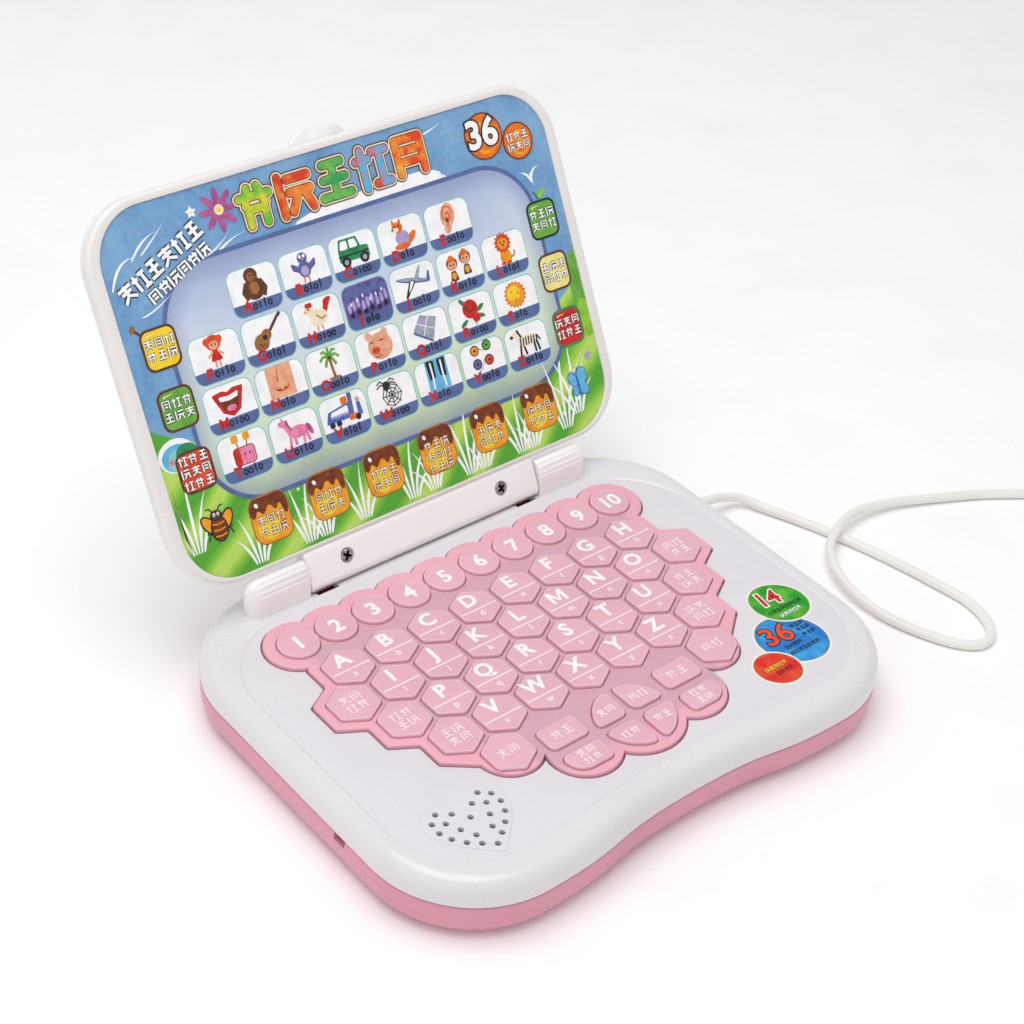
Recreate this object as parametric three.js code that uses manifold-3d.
// Toy laptop with a fold-open picture lid, a moulded rubber key mat and a corded toy mouse.
// Millimetres, +Z up. The origin is the middle of the base's underside, the front faces -Y,
// and the lid stands open at the rear.

import * as THREE from 'three';
import { mergeVertices } from 'three/addons/utils/BufferGeometryUtils.js';
import Module from 'manifold-3d';

const wasm = await Module();
wasm.setup();

// ---------------------------------------------------------------- driving dimensions

const GAP = 0.3;

const CASE = {
  width: 225, depth: 175, corner: 42, waist: 5.5,
  splitZ: 15, rimZ: 25.5, deckZ: 25, plateZ: 22.8, floorZ: 2,
  topRound: 6, bottomRound: 7, bottomRoundHeight: 9, wall: 3, lowerWall: 4.5,
};
const DECK = { width: 208, depth: 141, corner: 33, waist: 4, middleY: -4 };

const KEY = { pitch: 19.4, rowAY: 29.3, radius: 10.1, bottomZ: 21.5, topZ: 27, clearance: 0.35 };
const NUMBER_KEY = { radius: 8, pitch: 16.74, rowY: 49.7 };
const ROW_STEP = KEY.pitch * Math.sqrt(3) / 2;
const LETTER_ROWS = [
  { letters: 'abcdefgh', firstColumn: 0 },
  { letters: 'ijklmno', firstColumn: 0.5 },
  { letters: 'pqrstu', firstColumn: 1 },
  { letters: 'vwxyz', firstColumn: 1.5 },
];
const MAT = {
  bottomZ: 21.4, flangeZ: 22.5, topZ: 25.6, apothem: 12.5, flange: 3, opening: 0.5,
  petalRound: 18.6, lobe: { x: 25, y: -50.3, radius: 14.2 }, modeLobe: { x: 47, y: -36.2, radius: 12.6 },
  numberRound: 13,
};
const CARRIER = { bottomZ: 20.4, topZ: 21.1, stripHalf: 5, frontHalfWidth: 32, frontY: -58, backY: -38 };
const PETAL = { middleY: -49, radius: 15.3, halfGap: 1.3, corner: 3 };
const SIDE_KEY = { inner: 18.7, outer: 35.9, topY: -35.9, bottomY: -47 };
const LOBE_KEY = { topY: -50.8, bottomY: -60.6, outerRound: 7 };

const HEART = { x: -77.5, y: -53.1, holeRadius: 1.1 };
// Half of the grille's holes as offsets from the heart's middle. The rest are mirrored.
const HEART_HOLES = [
  [0, -15], [0, -0.5], [4.2, -12], [8.1, -8.8], [11.3, -4.8], [13, -0.4], [12.6, 4.2],
  [9, 7.1], [4.3, 4.2], [3.4, -7.9], [6.2, -3.1], [8.6, 1.8],
];

const LID = {
  width: 210, bottom: 8.6, top: 152, corner: 24, half: 4.1, lean: 28.4,
  hingeY: 75, hingeZ: 31.8, sheetWidth: 199.6, sheetBottom: 10.8, sheetTop: 148.4,
  sheetCorner: 20, sheetBack: 2.9, sheetFront: 3.4, skin: 1.5,
};
const BAR = { halfLength: 55.2, radius: 7.2, boreRadius: 1.9, boreStart: 46.5 };
const PIN = { radius: 1.6, start: 47, length: 16 };
const SCREW = { x: 37.3, y: 1.8, headRadius: 2.6, shaftRadius: 1.2, seatZ: 2.6, topZ: 3.9, tipZ: -2.5 };
const TAB = { halfWidth: 12.5, height: 5.8, frontZ: -0.3, backZ: -2.3 };
const TOWER = {
  inner: 55.8, outer: 81, halfThickness: 5.5, shoulderZ: 28, height: 11.6, endRound: 6, boreDepth: 8.6,
};
const TROUGH = { radius: 8, halfLength: 55.5 };
// The deck is thicker below the trough, so the trough's floor stays closed.
const TROUGH_SEAT = { halfWidth: 58, front: 66.8, back: 83, bottomZ: 21.2, topZ: 23.8 };
const SLOT = { inner: 43.4, outer: 53.1, front: 70.4, back: 73.2 };

const BOARD = {
  bottomZ: 17.3, topZ: 18.9, halfWidth: 84, back: 58, front: -30, tongue: 42, tongueFront: -64,
};
const BAY = { y: 36, width: 60, depth: 48, rib: 2, ribTop: 16.5 };
const BATTERY = { radius: 7.2, length: 50.5, z: 9.6, pitch: 15 };
const POST = { radius: 3, x: 70, frontY: -24, backY: 52 };
const SPEAKER = { radius: 14, magnetRadius: 7, bottomZ: 13.5, basketZ: 18.8, topZ: 22.4 };

const NOTCH = { front: -31, back: -25, bottomZ: 11.8 };
const CORD = { radius: 2, exitY: 42.6, exitZ: 10.8, boreRadius: 3.6, sides: 8, steps: 64 };
// The cord's route from the grommet, over the floor in one open loop, to the mouse.
const CORD_ROUTE = [
  [119.7, 42.6, 10.8], [123, 42.7, 10.5], [128, 43.2, 9.2], [135, 43.6, 7], [142.5, 42.3, 5],
  [146.6, 39, 3.8], [149.3, 34, 2.8], [156, 19.5, 2.1], [162, 3, 2.1], [168.5, -20, 2.1], [173, -43, 2.1],
  [175, -61, 2.1], [171.5, -73.5, 2.1], [166, -79.3, 2.1], [159.5, -80.5, 2.1], [152, -75, 2.1],
  [144.8, -62, 2.1], [139.8, -47, 2.8], [138.5, -31.5, 4.2], [142, -17, 5.7], [149.5, -6.3, 6.7],
  [160, -0.2, 6.9], [172.5, 4.5, 6], [185.5, 5, 4.6], [200.5, 1.8, 3.2], [222, -7.2, 2.2],
  [237.5, -15, 2.1], [253, -25, 2.1], [268, -33.5, 2.1], [284, -38.5, 2.4], [298, -40, 4],
  [308.6, -40, 5.2],
];
const MOUSE = {
  x: 341, y: -40, halfLength: 29, halfWidth: 19, baseTop: 8, domeHeight: 16,
  buttonBack: -9, buttonFloor: 15.6, pocketFloor: 14.3, bossRadius: 3.2, bossFront: -32,
};

const COLOUR = {
  white: '#EAE9ED', warmWhite: '#F1EEEB', pink: '#EBA3B3', rubber: '#E9A8B8', cord: '#EFEEEA',
  sheet: '#8FB6D6', board: '#2F6B46', cone: '#2A2A2C', steel: '#B9BABD', battery: '#3C3F46',
};

// ---------------------------------------------------------------- solids and booleans

const X_AXIS = new THREE.Vector3(1, 0, 0);
const Y_AXIS = new THREE.Vector3(0, 1, 0);
const Z_AXIS = new THREE.Vector3(0, 0, 1);
// Lays an extrusion along X, with its outline's x along Y and its outline's y along Z.
const ALONG_X = new THREE.Matrix4().makeBasis(Y_AXIS, Z_AXIS, X_AXIS);

function toSolid(geometry) {
  const bare = geometry.clone();
  bare.deleteAttribute('normal');
  bare.deleteAttribute('uv');
  const merged = mergeVertices(bare, 1e-4);
  const corners = merged.index.array;
  const kept = [];
  for (let i = 0; i < corners.length; i += 3) {
    const [a, b, c] = corners.slice(i, i + 3);
    if (a !== b && b !== c && c !== a) kept.push(a, b, c);
  }
  return new wasm.Manifold(new wasm.Mesh({
    numProp: 3,
    vertProperties: new Float32Array(merged.attributes.position.array),
    triVerts: new Uint32Array(kept),
  }));
}

function toGeometry(solid) {
  const mesh = solid.getMesh();
  const geometry = new THREE.BufferGeometry();
  geometry.setAttribute('position', new THREE.BufferAttribute(mesh.vertProperties, 3));
  geometry.setIndex(new THREE.BufferAttribute(mesh.triVerts, 1));
  geometry.computeVertexNormals();
  return geometry;
}

function joined(solids) {
  return solids.reduce((whole, next) => whole.add(next));
}

function box(x0, x1, y0, y1, z0, z1) {
  const geometry = new THREE.BoxGeometry(x1 - x0, y1 - y0, z1 - z0);
  geometry.translate((x0 + x1) / 2, (y0 + y1) / 2, (z0 + z1) / 2);
  return toSolid(geometry);
}

function plate(shape, z0, z1, curveSegments = 8) {
  const geometry = new THREE.ExtrudeGeometry(shape, { depth: z1 - z0, bevelEnabled: false, curveSegments });
  geometry.translate(0, 0, z0);
  return toSolid(geometry);
}

// A plate whose edges are rounded top and bottom: the outline grows by roundSize between them.
function roundedPlate(shape, z0, z1, roundSize, roundHeight, segments = 3, curveSegments = 8) {
  const geometry = new THREE.ExtrudeGeometry(shape, {
    depth: z1 - z0 - 2 * roundHeight, bevelEnabled: true, bevelThickness: roundHeight,
    bevelSize: roundSize, bevelSegments: segments, curveSegments,
  });
  geometry.translate(0, 0, z0 + roundHeight);
  return toSolid(geometry);
}

function ring(x, y, radius, sides, turn = 0) {
  const points = [];
  for (let i = 0; i < sides; i += 1) {
    const angle = turn + 2 * Math.PI * i / sides;
    points.push(new THREE.Vector2(x + radius * Math.cos(angle), y + radius * Math.sin(angle)));
  }
  return new THREE.Shape(points);
}

function drum(radius, x, y, z0, z1, sides = 16) {
  return plate(ring(x, y, radius, sides), z0, z1);
}

function rodAlongX(radius, x0, x1, y, z, sides = 16) {
  const geometry = new THREE.CylinderGeometry(radius, radius, x1 - x0, sides);
  geometry.rotateZ(Math.PI / 2);
  geometry.translate((x0 + x1) / 2, y, z);
  return toSolid(geometry);
}

// A rod along X that runs from near to far on one side of the middle.
function sideRod(radius, sign, near, far, y, z) {
  const [x0, x1] = [sign * near, sign * far].sort((p, q) => p - q);
  return rodAlongX(radius, x0, x1, y, z);
}

// ---------------------------------------------------------------- outlines

function roundedRectangle(width, height, radius, middleY = 0) {
  const hx = width / 2 - radius;
  const hy = height / 2 - radius;
  const shape = new THREE.Shape();
  shape.absarc(hx, middleY - hy, radius, -Math.PI / 2, 0);
  shape.absarc(hx, middleY + hy, radius, 0, Math.PI / 2);
  shape.absarc(-hx, middleY + hy, radius, Math.PI / 2, Math.PI);
  shape.absarc(-hx, middleY - hy, radius, Math.PI, 1.5 * Math.PI);
  return shape;
}

// A rounded rectangle whose front edge is drawn in at the middle.
function waistedOutline({ width, depth, corner, waist, middleY = 0 }, inset = 0) {
  const radius = corner - inset;
  const hx = width / 2 - corner;
  const hy = depth / 2 - corner;
  const front = middleY - hy - radius;
  const shape = new THREE.Shape();
  shape.moveTo(-hx, front);
  shape.bezierCurveTo(-hx * 0.45, front, -hx * 0.6, front + waist, 0, front + waist);
  shape.bezierCurveTo(hx * 0.6, front + waist, hx * 0.45, front, hx, front);
  shape.absarc(hx, middleY - hy, radius, -Math.PI / 2, 0);
  shape.absarc(hx, middleY + hy, radius, 0, Math.PI / 2);
  shape.absarc(-hx, middleY + hy, radius, Math.PI / 2, Math.PI);
  shape.absarc(-hx, middleY - hy, radius, Math.PI, 1.5 * Math.PI);
  return shape;
}

// A hexagon with two vertices along Y, given by its vertex radius.
function hexagon(x, y, radius) {
  return ring(x, y, radius, 6, Math.PI / 2);
}

// A quarter of a disc with rounded corners. signX and signY choose the quarter, grow widens it.
function petal(signX, signY, grow) {
  const near = PETAL.halfGap - grow;
  const far = PETAL.radius + grow;
  const r = PETAL.corner + grow;
  const points = [new THREE.Vector2(near, near + r)];
  const reach = Math.sqrt(far * far - near * near);
  points.push(new THREE.Vector2(near, reach - r * 0.7));
  points.push(new THREE.Vector2(near + r * 0.3, reach - r * 0.15));
  for (let i = 1; i < 6; i += 1) {
    const angle = Math.PI / 2 * (1 - i / 6);
    points.push(new THREE.Vector2(far * Math.cos(angle), far * Math.sin(angle)));
  }
  points.push(new THREE.Vector2(reach - r * 0.15, near + r * 0.3));
  points.push(new THREE.Vector2(reach - r * 0.7, near));
  points.push(new THREE.Vector2(near + r, near));
  points.push(new THREE.Vector2(near + r * 0.3, near + r * 0.3));
  const placed = points.map((p) => new THREE.Vector2(signX * p.x, PETAL.middleY + signY * p.y));
  return new THREE.Shape(placed);
}

// A rounded block key beside the petals. Its outer front corner has its own round.
function blockKey(sign, topY, bottomY, outerRound, grow) {
  const shape = new THREE.Shape();
  const inner = SIDE_KEY.inner - grow;
  const outer = SIDE_KEY.outer + grow;
  const top = topY + grow;
  const bottom = bottomY - grow;
  const r = 2.5 + grow;
  const big = outerRound + grow;
  shape.absarc(inner + r, bottom + r, r, Math.PI, 1.5 * Math.PI);
  shape.absarc(outer - big, bottom + big, big, 1.5 * Math.PI, 2 * Math.PI);
  shape.absarc(outer - r, top - r, r, 0, Math.PI / 2);
  shape.absarc(inner + r, top - r, r, Math.PI / 2, Math.PI);
  if (sign > 0) return shape;
  const points = shape.getPoints(3).map((p) => new THREE.Vector2(-p.x, p.y));
  return new THREE.Shape(points);
}

// ---------------------------------------------------------------- the key grid

function gridX(column) {
  return (column - 3.5) * KEY.pitch;
}

function gridY(row) {
  return KEY.rowAY - row * ROW_STEP;
}

function numberKeyX(index) {
  return (index - 4.5) * NUMBER_KEY.pitch;
}

const letterCells = LETTER_ROWS.flatMap(({ letters, firstColumn }, row) => (
  [...letters].map((letter, i) => ({ letter, x: gridX(firstColumn + i), y: gridY(row) }))
));

// The four mode keys on each side step inwards from the second row to the fifth.
function modeCells(sign) {
  return [1, 2, 3, 4].map((row) => ({ x: sign * (4.5 - row * 0.5) * KEY.pitch, y: gridY(row) }));
}

function frontKeyShapes(grow) {
  const shapes = [];
  for (const sign of [-1, 1]) {
    shapes.push(petal(sign, 1, grow));
    shapes.push(petal(sign, -1, grow));
    shapes.push(blockKey(sign, SIDE_KEY.topY, SIDE_KEY.bottomY, 2.5, grow));
    shapes.push(blockKey(sign, LOBE_KEY.topY, LOBE_KEY.bottomY, LOBE_KEY.outerRound, grow));
  }
  return shapes;
}

// Where two circles cross, on the side that lies to the right when looking from a to b.
function circlesMeet(a, b) {
  const dx = b.x - a.x;
  const dy = b.y - a.y;
  const apart = Math.hypot(dx, dy);
  const along = (apart * apart + a.radius ** 2 - b.radius ** 2) / (2 * apart);
  const off = Math.sqrt(a.radius ** 2 - along ** 2);
  return new THREE.Vector2(
    a.x + (along * dx + off * dy) / apart, a.y + (along * dy - off * dx) / apart,
  );
}

// Where a line of the given slope through a point first enters a circle, coming from the right.
function lineMeetsCircle(point, slope, c) {
  const px = point.x - c.x;
  const py = point.y - c.y;
  const a = 1 + slope * slope;
  const b = px + slope * py;
  const root = Math.sqrt(b * b - a * (px * px + py * py - c.radius ** 2));
  const step = (-b + root) / a;
  return new THREE.Vector2(point.x + step, point.y + slope * step);
}

function arcPoints(c, from, to, count) {
  const start = Math.atan2(from.y - c.y, from.x - c.x);
  let end = Math.atan2(to.y - c.y, to.x - c.x);
  if (end < start) end += 2 * Math.PI;
  const points = [];
  for (let i = 0; i < count; i += 1) {
    const angle = start + (end - start) * i / count;
    points.push(new THREE.Vector2(c.x + c.radius * Math.cos(angle), c.y + c.radius * Math.sin(angle)));
  }
  return points;
}

// The mat's outline follows its keys: scallops at the numbers and the front, zigzags at the sides.
// This is its right half, from the middle of the front to the middle of the back.
function matHalfOutline(grow) {
  const slope = Math.tan(Math.PI / 6);
  const apothem = MAT.apothem + grow;
  const half = apothem * slope;
  const petals = { x: 0, y: PETAL.middleY, radius: MAT.petalRound + grow };
  const lobe = { ...MAT.lobe, radius: MAT.lobe.radius + grow };
  const mode = { ...MAT.modeLobe, radius: MAT.modeLobe.radius + grow };
  const numbers = [9, 8, 7, 6, 5].map((i) => (
    { x: numberKeyX(i), y: NUMBER_KEY.rowY, radius: MAT.numberRound + grow }
  ));
  const cells = modeCells(1).slice(0, 3).reverse();
  const lastLetter = { x: gridX(7), y: gridY(0) };

  const petalsToLobe = circlesMeet(petals, lobe);
  const lobeToMode = circlesMeet(lobe, mode);
  const firstVertex = new THREE.Vector2(cells[0].x + apothem, cells[0].y - half);
  const modeToZigzag = lineMeetsCircle(firstVertex, slope, mode);
  const points = [
    ...arcPoints(petals, new THREE.Vector2(0, petals.y - petals.radius), petalsToLobe, 5),
    ...arcPoints(lobe, petalsToLobe, lobeToMode, 7),
    ...arcPoints(mode, lobeToMode, modeToZigzag, 7),
    modeToZigzag,
  ];
  cells.forEach(({ x, y }, i) => {
    points.push(new THREE.Vector2(x + apothem, y - half));
    const next = cells[i + 1];
    const riser = next
      ? next.y - 2 * half + (x + apothem - next.x) * slope
      : y + half;
    points.push(new THREE.Vector2(x + apothem, riser));
  });
  const outermost = cells[2];
  const letterEdge = lastLetter.x + apothem;
  points.push(new THREE.Vector2(letterEdge, outermost.y + 2 * half - (letterEdge - outermost.x) * slope));
  const shoulder = new THREE.Vector2(letterEdge, lastLetter.y + half);
  points.push(shoulder);
  let from = lineMeetsCircle(shoulder, -slope, numbers[0]);
  numbers.forEach((c, i) => {
    const next = numbers[i + 1] ?? { ...c, x: -c.x };
    const to = circlesMeet(c, next);
    points.push(...arcPoints(c, from, to, i === 0 ? 12 : 6));
    from = to;
  });
  points.push(from);
  return points;
}

function matRegion(grow, z0, z1) {
  const right = matHalfOutline(grow);
  const left = right.slice(1, -1).reverse().map((p) => new THREE.Vector2(-p.x, p.y));
  return plate(new THREE.Shape([...right, ...left]), z0, z1);
}

// ---------------------------------------------------------------- the base

function tower(sign) {
  const inset = TOWER.endRound / 2;
  const a = TOWER.halfThickness - inset;
  const b = TOWER.height - inset;
  const shape = new THREE.Shape();
  shape.moveTo(LID.hingeY - a, CASE.deckZ - 4);
  shape.lineTo(LID.hingeY + a, CASE.deckZ - 4);
  shape.absellipse(LID.hingeY, TOWER.shoulderZ, a, b, 0, Math.PI);
  const length = 2 * (TOWER.outer - TOWER.inner);
  const geometry = new THREE.ExtrudeGeometry(shape, {
    depth: length - 2 * TOWER.endRound, bevelEnabled: true, bevelThickness: TOWER.endRound,
    bevelSize: inset, bevelSegments: 4, curveSegments: 14,
  });
  geometry.applyMatrix4(ALONG_X);
  geometry.translate(TOWER.outer - length + TOWER.endRound, 0, 0);
  if (sign < 0) geometry.rotateZ(Math.PI).translate(0, 2 * LID.hingeY, 0);
  const [x0, x1] = [sign * TOWER.inner, sign * (TOWER.outer + 1)].sort((p, q) => p - q);
  const body = toSolid(geometry).intersect(box(x0, x1, 60, 90, CASE.plateZ + 0.5, 50));
  const boreEnd = TOWER.inner + TOWER.boreDepth;
  return body.subtract(sideRod(BAR.boreRadius, sign, TOWER.inner - 1, boreEnd, LID.hingeY, LID.hingeZ));
}

function topCase() {
  const shell = roundedPlate(
    waistedOutline(CASE, CASE.topRound), -20, CASE.rimZ, CASE.topRound, CASE.topRound, 3, 9,
  ).intersect(box(-200, 200, -200, 200, CASE.splitZ + GAP / 2, 60));
  const deckRecess = plate(waistedOutline(DECK), CASE.deckZ, CASE.rimZ + 1, 9);
  const hollow = plate(waistedOutline(CASE, CASE.wall), 0, CASE.plateZ, 6);
  const { halfWidth, front, back, bottomZ, topZ } = TROUGH_SEAT;
  const troughSeat = box(-halfWidth, halfWidth, front, back, bottomZ, topZ);
  const trough = rodAlongX(
    TROUGH.radius, -TROUGH.halfLength, TROUGH.halfLength, LID.hingeY, LID.hingeZ, 32,
  );
  const holes = HEART_HOLES.flatMap(([dx, dy]) => (dx === 0 ? [[0, dy]] : [[dx, dy], [-dx, dy]]));
  let body = shell.subtract(deckRecess).subtract(hollow).add(troughSeat);
  body = body.add(tower(1)).add(tower(-1)).subtract(trough);
  body = body.subtract(matRegion(MAT.opening, 20, 28));
  for (const sign of [-1, 1]) {
    const [x0, x1] = [sign * SLOT.inner, sign * SLOT.outer].sort((p, q) => p - q);
    body = body.subtract(box(x0, x1, SLOT.front, SLOT.back, 18, 27));
  }
  for (const [dx, dy] of holes) {
    body = body.subtract(drum(HEART.holeRadius, HEART.x + dx, HEART.y + dy, 20, 27, 6));
  }
  return body;
}

function bottomCase() {
  const shell = roundedPlate(
    waistedOutline(CASE, CASE.bottomRound), 0, 60, CASE.bottomRound, CASE.bottomRoundHeight, 3, 9,
  ).intersect(box(-200, 200, -200, 200, -1, CASE.splitZ - GAP / 2));
  const hollow = plate(waistedOutline(CASE, CASE.lowerWall), CASE.floorZ, 40, 6);
  const halfX = BAY.width / 2 + BAY.rib;
  const halfY = BAY.depth / 2 + BAY.rib;
  const bayRib = box(-halfX, halfX, BAY.y - halfY, BAY.y + halfY, CASE.floorZ - 0.2, BAY.ribTop);
  const bay = box(-BAY.width / 2, BAY.width / 2, BAY.y - BAY.depth / 2, BAY.y + BAY.depth / 2, -1, 30);
  let body = shell.subtract(hollow).add(bayRib).subtract(bay);
  for (const x of [-POST.x, POST.x]) {
    for (const y of [POST.frontY, POST.backY]) {
      body = body.add(drum(POST.radius, x, y, CASE.floorZ - 0.2, BOARD.bottomZ - GAP, 12));
    }
  }
  body = body.subtract(box(-120, -100, NOTCH.front, NOTCH.back, NOTCH.bottomZ, 20));
  return body.subtract(rodAlongX(CORD.boreRadius, 100, 120, CORD.exitY, CORD.exitZ, 16));
}

function keyMat() {
  let body = matRegion(0, MAT.bottomZ, MAT.topZ).add(matRegion(MAT.flange, MAT.bottomZ, MAT.flangeZ));
  const hexHole = KEY.radius + KEY.clearance / Math.cos(Math.PI / 6);
  const cells = [...letterCells, ...modeCells(-1), ...modeCells(1)];
  const shapes = cells.map(({ x, y }) => hexagon(x, y, hexHole));
  shapes.push(...frontKeyShapes(KEY.clearance));
  for (const shape of shapes) {
    body = body.subtract(plate(shape, MAT.bottomZ - 1, MAT.topZ + 1, 3));
  }
  for (let i = 0; i < 10; i += 1) {
    const holeRadius = NUMBER_KEY.radius + KEY.clearance;
    body = body.subtract(drum(holeRadius, numberKeyX(i), NUMBER_KEY.rowY, MAT.bottomZ - 1, MAT.topZ + 1, 14));
  }
  return body;
}

// A flat key cap that stands on a carrier.
function keyCap(shape) {
  return plate(shape, CARRIER.topZ - 0.1, KEY.topZ, 3);
}

function letterKey({ x, y }) {
  const round = 0.6;
  return roundedPlate(hexagon(x, y, KEY.radius - round * 1.1547), KEY.bottomZ, KEY.topZ, round, 0.8, 1);
}

function numberKey(index) {
  const round = 0.6;
  const outline = ring(numberKeyX(index), NUMBER_KEY.rowY, NUMBER_KEY.radius - round, 14);
  return roundedPlate(outline, KEY.bottomZ, KEY.topZ, round, 0.8, 1);
}

// Four mode keys on one thin carrier that runs below the mat.
function modeKeys(sign) {
  const cells = modeCells(sign);
  const first = cells[0];
  const last = cells[3];
  const strip = new THREE.Shape([
    new THREE.Vector2(first.x - CARRIER.stripHalf, first.y),
    new THREE.Vector2(last.x - CARRIER.stripHalf, last.y),
    new THREE.Vector2(last.x + CARRIER.stripHalf, last.y),
    new THREE.Vector2(first.x + CARRIER.stripHalf, first.y),
  ]);
  const caps = cells.map(({ x, y }) => keyCap(hexagon(x, y, KEY.radius)));
  return joined([plate(strip, CARRIER.bottomZ, CARRIER.topZ), ...caps]);
}

// The eight keys at the front on one thin carrier that runs below the mat.
function frontKeys() {
  const { frontHalfWidth, frontY, backY, bottomZ, topZ } = CARRIER;
  const carrier = box(-frontHalfWidth, frontHalfWidth, frontY, backY, bottomZ, topZ);
  const caps = frontKeyShapes(0).map(keyCap);
  return joined([carrier, ...caps]);
}

function mainBoard() {
  const shape = new THREE.Shape([
    new THREE.Vector2(-BOARD.tongue, BOARD.tongueFront), new THREE.Vector2(BOARD.tongue, BOARD.tongueFront),
    new THREE.Vector2(BOARD.tongue, BOARD.front), new THREE.Vector2(BOARD.halfWidth, BOARD.front),
    new THREE.Vector2(BOARD.halfWidth, BOARD.back), new THREE.Vector2(-BOARD.halfWidth, BOARD.back),
    new THREE.Vector2(-BOARD.halfWidth, BOARD.front), new THREE.Vector2(-BOARD.tongue, BOARD.front),
  ]);
  return plate(shape, BOARD.bottomZ, BOARD.topZ);
}

function speaker() {
  const basket = drum(SPEAKER.radius, HEART.x, HEART.y - 3, SPEAKER.basketZ, SPEAKER.topZ, 20);
  const magnet = drum(SPEAKER.magnetRadius, HEART.x, HEART.y - 3, SPEAKER.bottomZ, SPEAKER.basketZ + 0.1, 16);
  return basket.add(magnet);
}

function batteryDoor() {
  const halfX = BAY.width / 2 - GAP;
  const halfY = BAY.depth / 2 - GAP;
  return box(-halfX, halfX, BAY.y - halfY, BAY.y + halfY, 0.1, 1.9);
}

function battery(index) {
  const y = BAY.y + (index - 1) * BATTERY.pitch;
  const can = rodAlongX(BATTERY.radius, -BATTERY.length / 2, BATTERY.length / 2 - 1.2, y, BATTERY.z, 16);
  return can.add(rodAlongX(2.7, 0, BATTERY.length / 2, y, BATTERY.z, 10));
}

// ---------------------------------------------------------------- the lid, in its own frame
// Its origin is the hinge axis, +Y runs up the lid, and +Z leaves the picture's face.

function barSolid() {
  const slab = box(-BAR.halfLength, BAR.halfLength, 0, LID.sheetBottom, -LID.half, LID.half);
  const sweep = rodAlongX(BAR.radius, -BAR.halfLength, BAR.halfLength, 0, 0, 28);
  const lower = sweep.intersect(box(-BAR.halfLength, BAR.halfLength, -10, 1, -LID.half, LID.half));
  let bar = slab.add(lower);
  for (const sign of [-1, 1]) {
    bar = bar.subtract(sideRod(BAR.boreRadius, sign, BAR.boreStart, BAR.halfLength + 1, 0, 0));
    bar = bar.subtract(drum(SCREW.headRadius + GAP, sign * SCREW.x, SCREW.y, SCREW.seatZ - GAP, 6, 16));
    bar = bar.subtract(drum(SCREW.shaftRadius + GAP, sign * SCREW.x, SCREW.y, SCREW.tipZ - GAP, 3, 10));
  }
  return bar;
}

function lidOutline(inset = 0) {
  const height = LID.top - LID.bottom;
  const middle = (LID.top + LID.bottom) / 2;
  return roundedRectangle(LID.width - 2 * inset, height - 2 * inset, LID.corner - inset, middle);
}

function sheetOutline(grow) {
  const height = LID.sheetTop - LID.sheetBottom;
  const middle = (LID.sheetTop + LID.sheetBottom) / 2;
  return roundedRectangle(LID.sheetWidth + 2 * grow, height + 2 * grow, LID.sheetCorner + grow, middle);
}

function lidFront() {
  const frame = plate(lidOutline(), GAP / 2, LID.half, 8);
  const recess = plate(sheetOutline(GAP), LID.sheetBack, 10, 8);
  const pocket = plate(lidOutline(4), -5, LID.sheetBack - LID.skin, 4);
  const bar = barSolid().intersect(box(-200, 200, -20, 20, GAP / 2, 20));
  return frame.add(bar).subtract(recess).subtract(pocket);
}

function lidBack() {
  const round = 3;
  const shell = roundedPlate(lidOutline(round), -LID.half, 20, round, round, 2, 8);
  const body = shell.intersect(box(-200, 200, 0, 200, -20, -GAP / 2));
  const pocket = plate(lidOutline(5), -LID.half + LID.skin, 5, 4);
  const bar = barSolid().intersect(box(-200, 200, -20, 20, -20, -GAP / 2));
  const dome = new THREE.Shape();
  dome.moveTo(-TAB.halfWidth, LID.top - 3);
  dome.lineTo(TAB.halfWidth, LID.top - 3);
  dome.absellipse(0, LID.top - 0.6, TAB.halfWidth, TAB.height + 0.6, 0, Math.PI);
  return body.subtract(pocket).add(bar).add(plate(dome, TAB.backZ, TAB.frontZ, 16));
}

function pictureSheet() {
  return plate(sheetOutline(0), LID.sheetBack + 0.05, LID.sheetFront, 7);
}

function hingePin(sign) {
  return sideRod(PIN.radius, sign, PIN.start, PIN.start + PIN.length, 0, 0);
}

function lidScrew(sign) {
  const x = sign * SCREW.x;
  const head = drum(SCREW.headRadius, x, SCREW.y, SCREW.seatZ, SCREW.topZ, 16);
  const shaft = drum(SCREW.shaftRadius, x, SCREW.y, SCREW.tipZ, SCREW.seatZ + 0.1, 10);
  const across = box(x - 1.7, x + 1.7, SCREW.y - 0.4, SCREW.y + 0.4, SCREW.topZ - 0.9, 5);
  const upright = box(x - 0.4, x + 0.4, SCREW.y - 1.7, SCREW.y + 1.7, SCREW.topZ - 0.9, 5);
  return head.add(shaft).subtract(across).subtract(upright);
}

// ---------------------------------------------------------------- the cord and the toy mouse

function cordGrommet() {
  const wallX = CASE.width / 2;
  const profile = [
    [0, -7.5], [5, -7.5], [5, -5.2], [3.2, -5.2], [3.2, 0.4], [4.4, 0.4], [4.2, 2], [2.7, 6.6], [0, 6.6],
  ].map(([radius, along]) => new THREE.Vector2(radius, along));
  const geometry = new THREE.LatheGeometry(profile, 16);
  geometry.rotateZ(-Math.PI / 2);
  geometry.translate(wallX, CORD.exitY, CORD.exitZ);
  return toSolid(geometry);
}

function mouseCord() {
  const route = new THREE.CatmullRomCurve3(CORD_ROUTE.map((p) => new THREE.Vector3(...p)), false);
  const section = ring(0, 0, CORD.radius, CORD.sides);
  return toSolid(new THREE.ExtrudeGeometry(section, { steps: CORD.steps, extrudePath: route }));
}

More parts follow.
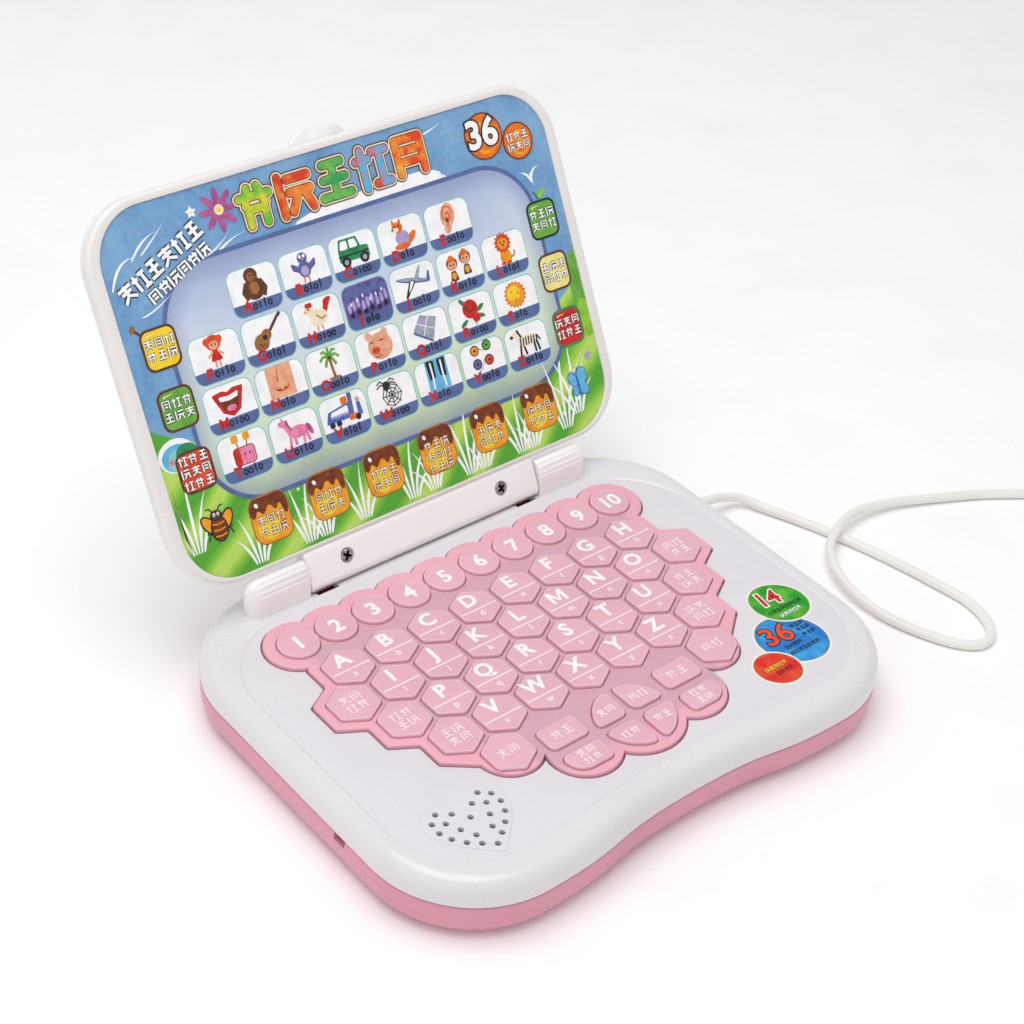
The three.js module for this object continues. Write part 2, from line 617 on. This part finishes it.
function mouseDome() {
  const profile = [new THREE.Vector2(0, 0)];
  for (let i = 0; i <= 8; i += 1) {
    const angle = Math.PI / 2 * i / 8;
    profile.push(new THREE.Vector2(MOUSE.halfWidth * Math.cos(angle), MOUSE.domeHeight * Math.sin(angle)));
  }
  profile[profile.length - 1].x = 0;
  const geometry = new THREE.LatheGeometry(profile, 28);
  geometry.rotateX(Math.PI / 2);
  geometry.scale(MOUSE.halfLength / MOUSE.halfWidth, 1, 1);
  geometry.translate(MOUSE.x, MOUSE.y, MOUSE.baseTop + GAP);
  return toSolid(geometry);
}

function mouseBottom() {
  const outline = new THREE.Shape();
  outline.absellipse(0, 0, MOUSE.halfLength - 1.5, MOUSE.halfWidth - 1.5, 0, 2 * Math.PI);
  const body = roundedPlate(outline, 0, MOUSE.baseTop, 1.5, 1.5, 2, 14).translate([MOUSE.x, MOUSE.y, 0]);
  const boss = rodAlongX(MOUSE.bossRadius, MOUSE.x + MOUSE.bossFront, MOUSE.x - 20, MOUSE.y, 4.4, 12);
  return body.add(boss);
}

function mouseTop() {
  const back = MOUSE.x + MOUSE.buttonBack + 0.5;
  return mouseDome().subtract(box(MOUSE.x - 40, back, -80, 0, MOUSE.pocketFloor, 40));
}

function mouseButton() {
  const back = MOUSE.x + MOUSE.buttonBack;
  return mouseDome().intersect(box(MOUSE.x - 40, back, -80, 0, MOUSE.buttonFloor, 40));
}

// ---------------------------------------------------------------- the assembly

function material(colour, roughness, metalness = 0) {
  return new THREE.MeshStandardMaterial({ color: new THREE.Color(colour), roughness, metalness });
}

function node(name, solid, colour, roughness, metalness) {
  const mesh = new THREE.Mesh(toGeometry(solid), material(colour, roughness, metalness));
  mesh.name = name;
  return mesh;
}

function buildBase() {
  const base = new THREE.Group();
  base.add(node('top_case', topCase(), COLOUR.white, 0.3));
  base.add(node('bottom_case', bottomCase(), COLOUR.pink, 0.35));
  base.add(node('key_mat', keyMat(), COLOUR.rubber, 0.6));
  base.add(node('main_board', mainBoard(), COLOUR.board, 0.5));
  base.add(node('speaker', speaker(), COLOUR.cone, 0.7));
  base.add(node('battery_door', batteryDoor(), COLOUR.pink, 0.35));
  for (let i = 0; i < 3; i += 1) {
    base.add(node(`battery_${i + 1}`, battery(i), COLOUR.battery, 0.4));
  }
  return base;
}

function buildKeys() {
  const keys = new THREE.Group();
  for (let i = 0; i < 10; i += 1) {
    keys.add(node(`key_${i + 1}`, numberKey(i), COLOUR.rubber, 0.55));
  }
  for (const cell of letterCells) {
    keys.add(node(`key_${cell.letter}`, letterKey(cell), COLOUR.rubber, 0.55));
  }
  keys.add(node('mode_keys_left', modeKeys(-1), COLOUR.rubber, 0.55));
  keys.add(node('mode_keys_right', modeKeys(1), COLOUR.rubber, 0.55));
  keys.add(node('front_keys', frontKeys(), COLOUR.rubber, 0.55));
  return keys;
}

function buildLid() {
  const lid = new THREE.Group();
  lid.add(node('lid_front', lidFront(), COLOUR.warmWhite, 0.3));
  lid.add(node('lid_back', lidBack(), COLOUR.warmWhite, 0.3));
  lid.add(node('picture_sheet', pictureSheet(), COLOUR.sheet, 0.25));
  for (const [side, sign] of [['left', -1], ['right', 1]]) {
    lid.add(node(`hinge_pin_${side}`, hingePin(sign), COLOUR.steel, 0.3, 1));
    lid.add(node(`lid_screw_${side}`, lidScrew(sign), COLOUR.steel, 0.25, 1));
  }
  lid.position.set(0, LID.hingeY, LID.hingeZ);
  lid.rotation.x = THREE.MathUtils.degToRad(90 - LID.lean);
  return lid;
}

function buildMouse() {
  const mouse = new THREE.Group();
  mouse.add(node('cord_grommet', cordGrommet(), COLOUR.cord, 0.5));
  mouse.add(node('mouse_cord', mouseCord(), COLOUR.cord, 0.45));
  mouse.add(node('mouse_bottom', mouseBottom(), COLOUR.pink, 0.35));
  mouse.add(node('mouse_top', mouseTop(), COLOUR.white, 0.3));
  mouse.add(node('mouse_button', mouseButton(), COLOUR.pink, 0.35));
  return mouse;
}

const toyLaptop = new THREE.Group();
toyLaptop.add(buildBase(), buildKeys(), buildLid(), buildMouse());

export default toyLaptop;
